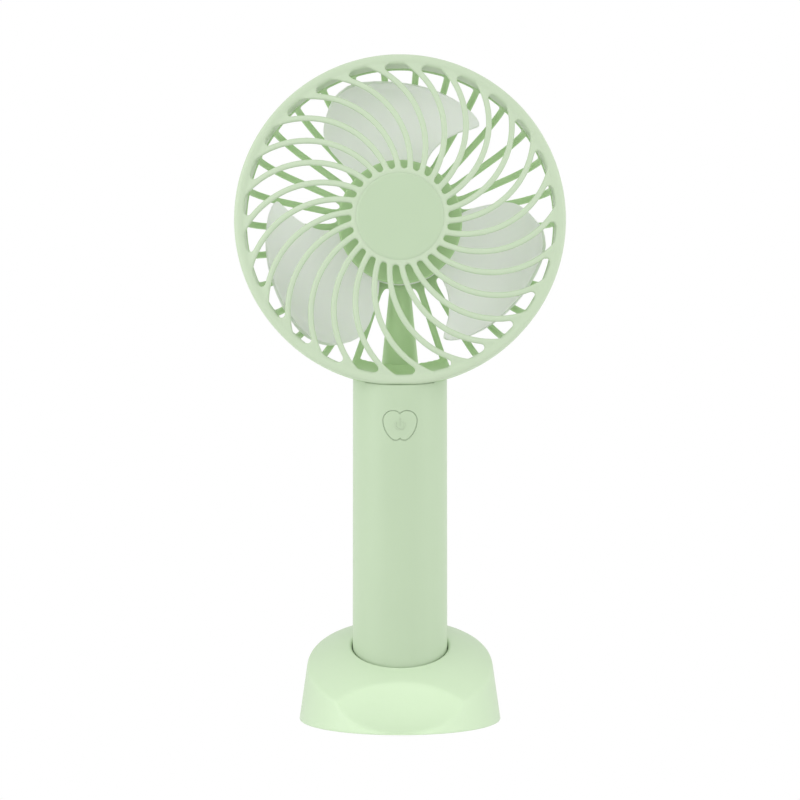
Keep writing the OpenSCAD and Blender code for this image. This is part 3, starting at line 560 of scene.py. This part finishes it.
def neck_part(low, high, gap, steps):
    """A length of the hollow neck, open down the back by a half-angle given in mm of gap."""
    rings = []
    for i in range(steps + 1):
        h = low + (high - low) * i / steps
        r = NECK_FOOT_R - (NECK_FOOT_R - NECK_TOP_R) * h / NECK_LEN
        inner = max(r - NECK_WALL, 0.5)
        if gap:
            a, b = math.degrees(math.asin(gap / r)), math.degrees(math.asin(min(gap / inner, 1)))
            ring = neck_ring(h, r, 90 + a, 450 - a, 32)
            ring += neck_ring(h, inner, 450 - b, 90 + b, 32)
        else:
            ring = neck_ring(h, r, 90, 450, 40)[:-1]
        rings.append(ring)
    return tube(rings)


parts.append(neck_part(11.0, 33.2, 1.33, 20))
guard_back = make("rear_guard_moulding", parts)


# the solid ends of the neck, with the lead's way through them
ROUND = np.linspace(0, 2 * math.pi, 24, endpoint=False)
WAY_R = 2.6
HOLE_R = 1.2
foot = make("neck_foot", [neck_part(-0.5, 11.4, 0, 8)])
cut(foot, make("way", [tube([[(WAY_R * math.cos(t), NECK_FOOT_Y - h * 0.1 + WAY_R * math.sin(t),
                              NECK_FOOT_Z + h) for t in ROUND] for h in (-3, 13)])]))
top = make("neck_top", [neck_part(32.8, 39.5, 0, 6)])
absorb(guard_back, foot)
absorb(guard_back, top)
tongue = make("tongue", [tube([[(x, y, z) for x, z in rounded(
    [(-7, 97, 0.8), (7, 97, 0.8), (7, 105, 0.3), (-7, 105, 0.3)], 3)] for y in (4.0, 7.0)])])
cut(tongue, make("hole", [tube([[(HOLE_R * math.cos(t), y, 100 + HOLE_R * math.sin(t))
                                for t in ROUND] for y in (3, 8)])]))
absorb(guard_back, tongue)
moulded(guard_back, *REAR_SKIN)
# the rear guard wears the darker copy of the mint, with painted shade in its colour
finish_piece(guard_back, "handset", "mint_plastic", "rear_grille", mat=shaded_mint_copy)


# ---------------------------------------------------------------- handle details
LIP_HALF_ANGLE = 11.2
LIP_IN_R, LIP_OUT_R = 50.95, 51.39
LIP_BACK_Y = -10.3
lip_rings = []
for a in np.linspace(180 - LIP_HALF_ANGLE, 180 + LIP_HALF_ANGLE, 45):
    face_y = 0.06 - math.sqrt(14.75 ** 2 - (51.2 * math.sin(math.radians(a))) ** 2)
    lip_rings.append([place(*clock(r, a), y) for r, y in (
        (LIP_IN_R, face_y + 0.5), (51.12, face_y), (LIP_OUT_R, face_y),
        (LIP_OUT_R, LIP_BACK_Y), (LIP_IN_R, LIP_BACK_Y))])
saddle_lip = make("handle_saddle_lip", [tube(lip_rings)])
finish_piece(saddle_lip, "handset", "mint_plastic")

BUTTON_CIRCLES = ((2.2, 1.35, 2.95), (1.3, -2.9, 1.75))
FLANK_X, FLANK_Z, FLANK_R = 2.79, 1.71, 7.95
FLANK_BEARINGS = (-48, -4)


def button_outline(grow):
    """Two-lobed outline in the button's plane, as (x, height over its middle)."""
    out = []
    for a in np.arange(0, 360, 1.5):
        d = np.array((math.sin(math.radians(a)), math.cos(math.radians(a))))
        best = 0.0
        for cx, cy, r in BUTTON_CIRCLES:
            for m in (-1, 1):
                k = d @ (m * cx, cy)
                q = (r + grow) ** 2 - (cx * cx + cy * cy) + k * k
                if q > 0:
                    best = max(best, k + math.sqrt(q))
        for m in (-1, 1):
            k = d @ (m * -FLANK_X, FLANK_Z)
            reach_d = k + math.sqrt((FLANK_R + grow) ** 2 - (FLANK_X ** 2 + FLANK_Z ** 2) + k * k)
            p = d * reach_d - np.array((m * -FLANK_X, FLANK_Z))
            bearing = math.degrees(math.atan2(p[1], p[0] * m))
            if FLANK_BEARINGS[0] <= bearing <= FLANK_BEARINGS[1]:
                best = max(best, reach_d)
        out.append(best * d)
    return out


def on_button(x, z, depth):
    """A point on the button at a depth under its crowned face."""
    r = HANDLE_R + BUTTON_CROWN
    return (x, -math.sqrt(r * r - x * x) + depth, BUTTON_Z + z)


def button_parts():
    """The button's crowned face, its rounded edge and the skirt below it."""
    rings = []
    shape = np.array(button_outline(-0.06))
    skirt = np.array(button_outline(0.15))
    for k, depth in ((0.0, 0.0), (0.12, 0.0), (0.3, 0.0), (0.5, 0.0), (0.7, 0.0), (0.86, 0.0),
                     (0.93, 0.0), (0.965, 0.02), (0.985, 0.07), (0.997, 0.15), (1.0, 0.24),
                     (1.0, 0.36)):
        rings.append([on_button(x * k, z * k, depth) for x, z in shape])
    for depth in (0.36, 1.2, 2.4):
        rings.append([on_button(x, z, depth) for x, z in skirt])
    for k in (0.6, 0.3, 0.0):
        rings.append([on_button(x * k, z * k, 2.4) for x, z in skirt])
    return tube(rings)


def ribbon(points, width, rise):
    """A raised flat bead that follows points (x, z) over the button's face."""
    points = [np.array(p, float) for p in points]
    rings = []
    for i, p in enumerate(points):
        d = points[min(i + 1, len(points) - 1)] - points[max(i - 1, 0)]
        n = np.array((-d[1], d[0])) / np.linalg.norm(d)
        row = []
        for w, h in ((-0.5, 0.12), (-0.34, -rise), (0.34, -rise), (0.5, 0.12)):
            q = p + n * w * width
            row.append(on_button(q[0], q[1], h))
        rings.append(row)
    return tube(rings)


MARK_R = 1.4
MARK_BEAD = (0.42, 0.16)
mark = [ribbon([(MARK_R * math.sin(math.radians(a)), 0.05 - MARK_R * math.cos(math.radians(a)))
                for a in np.linspace(-128, 128, 33)], *MARK_BEAD),
        ribbon([(0, z) for z in np.linspace(-0.2, 2.1, 8)], *MARK_BEAD)]
button = make("power_button_cap", [button_parts()] + mark)
finish_piece(sharp(button, 40), "button", "mint_plastic", "power_button")


# ---------------------------------------------------------------- rotor
cup_outline = rounded([
    (1.0, -7.7, 0), (19.0, -7.7, 0.2), (19.0, -0.8, 0.5), (17.4, -0.8, 0.4), (17.4, -6.3, 0.6),
    (3.2, -6.3, 0.3), (3.2, -4.3, 0.2), (1.0, -4.3, 0)], 4)
# share of the blade's reach, and the angles of its two edges there
BLADE_ROWS = [(0, -39, 24), (0.16, -42.5, 23.5), (0.36, -43, 27.5), (0.54, -42.5, 33),
              (0.68, -40.5, 38), (0.76, -38, 39), (0.82, -35.5, 34), (0.88, -32.5, 20),
              (0.94, -29, 2), (0.98, -25, -10), (1, -21, -17)]


def hermite(x, y, t):
    """Smooth curve through rows of points, with slopes taken from their neighbours."""
    x, y = np.array(x, float), np.array(y, float)
    m = np.gradient(y, x)
    i = int(np.clip(np.searchsorted(x, t) - 1, 0, len(x) - 2))
    h = x[i + 1] - x[i]
    s = (t - x[i]) / h
    return ((2 * s ** 3 - 3 * s ** 2 + 1) * y[i] + (s ** 3 - 2 * s ** 2 + s) * h * m[i]
            + (-2 * s ** 3 + 3 * s ** 2) * y[i + 1] + (s ** 3 - s ** 2) * h * m[i + 1])


BLADE_ROOT_R, BLADE_TIP_R = 17.9, 44.0
BLADE_SPREAD = 0.036
BLADE_MID_Y = -4.66
BLADE_PITCH = 0.085
BLADE_CAMBER = 0.9
BLADE_ROOM_R = BEND_R - SPOKE_T - 0.1
BLADE_ROOM_GAP = 1.2
ROOM_BLEND = 1.6


def blade_sheet():
    """Middle surface of a blade; its rim bends forward to stay clear of the rear guard."""
    share_rows = [row[0] for row in BLADE_ROWS]
    rows, across = 36, 30
    verts, faces = [], []
    for i in range(rows + 1):
        f = 1 - (1 - i / rows) ** 1.35
        low = hermite(share_rows, [row[1] for row in BLADE_ROWS], f)
        high = hermite(share_rows, [row[2] for row in BLADE_ROWS], f)
        r = BLADE_ROOT_R + (BLADE_TIP_R - BLADE_ROOT_R) * f
        r *= 1 + BLADE_SPREAD * min(1.0, (r - BLADE_ROOT_R) / 8)
        for j in range(across + 1):
            s = j / across
            a = low + (high - low) * s
            u, v = clock(r, a)
            y = (BLADE_MID_Y - (1 + 0.3 * f) * BLADE_PITCH * a
                 + BLADE_CAMBER * math.sin(math.pi * s) * f)
            past = max(r - BEND_C_R, 0.0)
            room = BEND_C_Y + math.sqrt(BLADE_ROOM_R ** 2 - past * past) - BLADE_ROOM_GAP
            y = -math.log(math.exp(-ROOM_BLEND * y) + math.exp(-ROOM_BLEND * room)) / ROOM_BLEND
            verts.append(place(u, v, y))
    for i in range(rows):
        for j in range(across):
            k = i * (across + 1) + j
            faces.append((k, k + 1, k + across + 2, k + across + 1))
    return verts, faces


rotor = make("impeller_cup", [turn_head(cup_outline)])
for turn in (0, 120, 240):
    blade = make("blade", [spun(blade_sheet(), turn)])
    wall = blade.modifiers.new("wall", "SOLIDIFY")
    wall.thickness = 1.15 * MM
    wall.offset = 0
    wall.use_even_offset = True
    edge = blade.modifiers.new("edge", "BEVEL")
    edge.width = 0.42 * MM
    edge.segments = 3
    edge.limit_method = "ANGLE"
    edge.angle_limit = math.radians(50)
    settle(blade)
    cut(rotor, blade, "UNION")
rotor.name = rotor.data.name = "impeller_moulding"
rotor.data.polygons.foreach_set("use_smooth", [True] * len(rotor.data.polygons))
finish_piece(sharp(rotor, 40), "rotor", "blade_plastic", "impeller")

hub_cap = make("rotor_hub_disc", [turn_head(rounded([
    (0, -9.3, 0), (19.3, -9.3, 1.0), (19.3, -7.7, 0.15), (0, -7.7, 0)], 6))])
# the rotor disc wears the darker copy of the mint, with painted shade in its colour
finish_piece(sharp(hub_cap), "rotor", "mint_plastic", "rotor_hub_cap", mat=shaded_mint_copy)


# ---------------------------------------------------------------- stand
STAND_R = 31.4
STAND_LIFT = 0.3
DRAFT = math.tan(math.radians(8.1))
STAND_FRONT_Z = 18.6
DOME_TOP_R = 69.3
DOME_TOP_BACK = 21.6
COVE_IN = 10.4
COVE_FOOT_IN = 0.1
COVE_FOOT_Z = 0.8
COVE_R = 23.0
SOCKET_FLOOR_Z = 5.0
PLATE_SEAT_Z = 2.2
WEIGHT_TOP_Z = 7.65
WEIGHT_OUT_R = 26.45
WEIGHT_FRONT = 17.65
WEIGHT_IN_R = 17.35
PLATE_R = 28.5
stand_dome_z = STAND_FRONT_Z - math.sqrt(DOME_TOP_R ** 2 - (HANDLE_R + DOME_TOP_BACK) ** 2)
crest_y = -STAND_R + COVE_IN
crest_z = stand_dome_z + math.sqrt(DOME_TOP_R ** 2 - (crest_y - DOME_TOP_BACK) ** 2)
cove_run = COVE_IN - COVE_FOOT_IN
chord = math.hypot(cove_run, crest_z - COVE_FOOT_Z)
lean = math.atan2(crest_z - COVE_FOOT_Z, cove_run)
reach = math.sqrt(COVE_R ** 2 - (chord / 2) ** 2)
cove_y = crest_y - cove_run / 2 - reach * math.sin(lean)
cove_z = (crest_z + COVE_FOOT_Z) / 2 + reach * math.cos(lean)
RIM_R = 15.4
LIP_R = 15.05
RAYS = 288


def stand_height(r, a):
    """Height of the stand's outside: the dome, the leaning side or the hollow front sweep."""
    x, y = r * math.cos(a), r * math.sin(a)
    dome = stand_dome_z + math.sqrt(DOME_TOP_R ** 2 - x * x - (y - DOME_TOP_BACK) ** 2)
    side = STAND_LIFT + (STAND_R - r) / DRAFT
    z = min(dome, side)
    away = y - cove_y
    if abs(away) < COVE_R:
        z = min(z, cove_z - math.sqrt(COVE_R ** 2 - away * away))
    return max(z, STAND_LIFT)


def resampled(line, count):
    """A line with its points spread evenly along it."""
    line = np.array(line)
    step = np.r_[0, np.cumsum(np.linalg.norm(np.diff(line, axis=0), axis=1))]
    t = np.linspace(0, step[-1], count)
    return np.c_[np.interp(t, step, line[:, 0]), np.interp(t, step, line[:, 1])]


def softened(line, spread):
    """A profile smoothed along its length, with its ends kept."""
    gap = np.linalg.norm(line[1] - line[0])
    reach_n = max(1, int(3 * spread / gap))
    w = np.exp(-0.5 * (np.arange(-reach_n, reach_n + 1) * gap / spread) ** 2)
    w /= w.sum()
    head = 2 * line[0] - line[reach_n:0:-1]
    tail = 2 * line[-1] - line[-2:-reach_n - 2:-1]
    padded = np.r_[head, line, tail]
    return np.c_[np.convolve(padded[:, 0], w, "valid"), np.convolve(padded[:, 1], w, "valid")]


def stand_outer(a):
    """Outside of the stand along one direction, from the socket's rim out to the foot."""
    radii = np.r_[np.linspace(RIM_R, 27.0, 500), np.linspace(27.0, STAND_R, 2500)[1:]]
    line = [(r, stand_height(r, a)) for r in radii]
    return resampled(softened(resampled(line, 900), 0.6), 120)


def at_boss(a):
    """Whether a direction runs through one of the three screw bosses."""
    for degrees in (90, 210, 330):
        off = (a - math.radians(degrees) + math.pi) % (2 * math.pi) - math.pi
        if abs(math.sin(off)) * 20 < 2.9 and math.cos(off) > 0:
            return True
    return False


def stand_profile(a):
    """Closed section of the stand along one direction, as (r, z)."""
    outer = stand_outer(a)
    rim_z = outer[2][1]
    floor_z = SOCKET_FLOOR_Z
    inside = [(0.0, floor_z), (8.0, floor_z), (RIM_R - 0.5, floor_z), (RIM_R - 0.15, 5.15),
              (RIM_R, 5.5)]
    wall = [(RIM_R, 5.5 + (rim_z - 2.2 - 5.5) * t) for t in (0.25, 0.5, 0.75, 1.0)]
    wall += [(LIP_R, rim_z - 1.9), (LIP_R, rim_z - 0.9)]
    lip = [(LIP_R + 0.9 * (1 - math.cos(t)), rim_z - 0.7 + 0.7 * math.sin(t))
           for t in np.linspace(0, math.pi / 2, 6)[1:]]
    skin = [tuple(p) for p in outer if p[0] > RIM_R + 0.75 and p[1] > 1.0]
    skin = [tuple(p) for p in resampled(skin, 110)]
    fillet = [(STAND_R - 0.07, 0.75), (STAND_R - 0.2, 0.45), (STAND_R - 0.5, STAND_LIFT)]
    deep = PLATE_SEAT_Z if at_boss(a) else WEIGHT_TOP_Z
    far = WEIGHT_OUT_R
    if math.sin(a) < 0:
        far = min(far, WEIGHT_FRONT / abs(math.sin(a)))
    under = [(PLATE_R, STAND_LIFT), (PLATE_R, PLATE_SEAT_Z), (far, PLATE_SEAT_Z), (far, deep),
             (WEIGHT_IN_R, deep), (WEIGHT_IN_R, PLATE_SEAT_Z), (0.0, PLATE_SEAT_Z)]
    return inside + wall + lip + skin + fillet + under


def stand_parts():
    """The stand, swept round the handle's axis from its sections."""
    rings = []
    for k in range(RAYS):
        a = 2 * math.pi * k / RAYS
        rings.append([(r * math.cos(a), r * math.sin(a), z) for r, z in stand_profile(a)])
    return tube(rings, closed=True)


stand = make("stand_moulding", [stand_parts()])
finish_piece(sharp(stand, 50), "stand", "mint_plastic", "stand_body")

# ---------------------------------------------------------------- stage
scene = bpy.context.scene
world = bpy.data.worlds.new("studio")
scene.world = world
world.use_nodes = True
world.node_tree.nodes["Background"].inputs["Color"].default_value = (1, 1, 1, 1)
world.node_tree.nodes["Background"].inputs["Strength"].default_value = 1.0
scene.view_settings.view_transform = "Standard"

floor_mesh = bpy.data.meshes.new("floor")
FLOOR = 6.0
floor_mesh.from_pydata([(-FLOOR, -FLOOR, 0), (FLOOR, -FLOOR, 0), (FLOOR, FLOOR, 0),
                        (-FLOOR, FLOOR, 0)], [], [(0, 1, 2, 3)])
floor = bpy.data.objects.new("floor", floor_mesh)
scene.collection.objects.link(floor)
floor_mat = bpy.data.materials.new("white_floor")
floor_mat.use_nodes = True
tree = floor_mat.node_tree
tree.nodes.clear()
glow = tree.nodes.new("ShaderNodeEmission")
glow.inputs["Color"].default_value = (1, 1, 1, 1)
glow.inputs["Strength"].default_value = 1.0
out = tree.nodes.new("ShaderNodeOutputMaterial")
tree.links.new(glow.outputs["Emission"], out.inputs["Surface"])
floor_mesh.materials.append(floor_mat)
floor.location.z = -0.0002


def softbox(name, at, target, size, power):
    """A rectangular soft light that faces a target."""
    light = bpy.data.lights.new(name, "AREA")
    light.shape = "RECTANGLE"
    light.size, light.size_y = size
    light.energy = power
    obj = bpy.data.objects.new(name, light)
    obj.location = at
    obj.rotation_euler = (Vector(target) - Vector(at)).to_track_quat("-Z", "Y").to_euler()
    scene.collection.objects.link(obj)
    return obj


softbox("left_box", (-0.75, -0.35, 0.25), (0, 0, 0.11), (0.5, 0.8), 1.9)
softbox("right_box", (0.75, -0.30, 0.25), (0, 0, 0.11), (0.5, 0.8), 1.2)
softbox("top_box", (0.0, -0.55, 0.75), (0, 0, 0.08), (0.8, 0.4), 0.1)

only_stand = bpy.data.collections.new("lit_by_front_box")
only_stand.objects.link(stand)
low_box = softbox("front_box", (0.0, -0.5, 0.02), (0, 0, 0.012), (0.25, 0.03), 0.9)
low_box.light_linking.receiver_collection = only_stand

CAMERA_TILT = 90 + 1.6
camera_data = bpy.data.cameras.new("camera")
camera_data.lens = 71.01
camera_data.sensor_width = 36.0
camera_data.shift_y = 0.028
camera = bpy.data.objects.new("camera", camera_data)
camera.location = (0.0, -0.496, 0.0791)
camera.rotation_euler = (math.radians(CAMERA_TILT), 0, 0)
scene.collection.objects.link(camera)
scene.camera = camera
